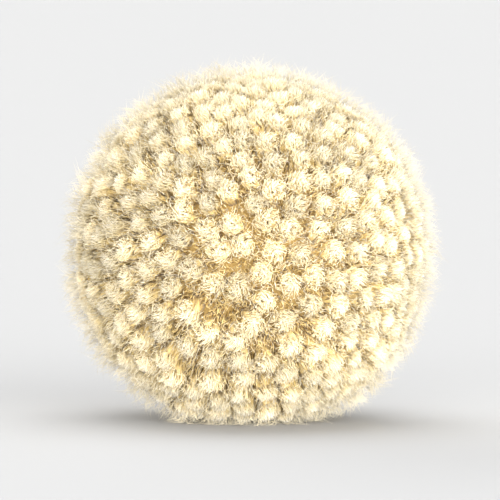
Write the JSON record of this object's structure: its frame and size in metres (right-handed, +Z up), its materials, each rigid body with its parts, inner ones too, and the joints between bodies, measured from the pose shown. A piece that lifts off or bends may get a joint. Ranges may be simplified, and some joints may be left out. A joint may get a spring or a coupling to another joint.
{
  "type": "yarn pom pom",
  "caption": "Soft round pom pom of cut, hand-trimmed yarn ends, with a small flat spot to rest on.",
  "frame": {"origin": "middle of the flat spot that the ball rests on, below the ball's centre", "axes": "+Z up through the ball's centre, -Z out of the flat spot; the ball looks alike from every side"},
  "size_m": [0.0398, 0.0401, 0.0388],
  "materials": {
    "yarn": "matt, fuzzy cut yarn ends in a pale warm yellow"
  },
  "bodies": {
    "root": {"yarn_ball": "yarn"}
  },
  "joints": []
}
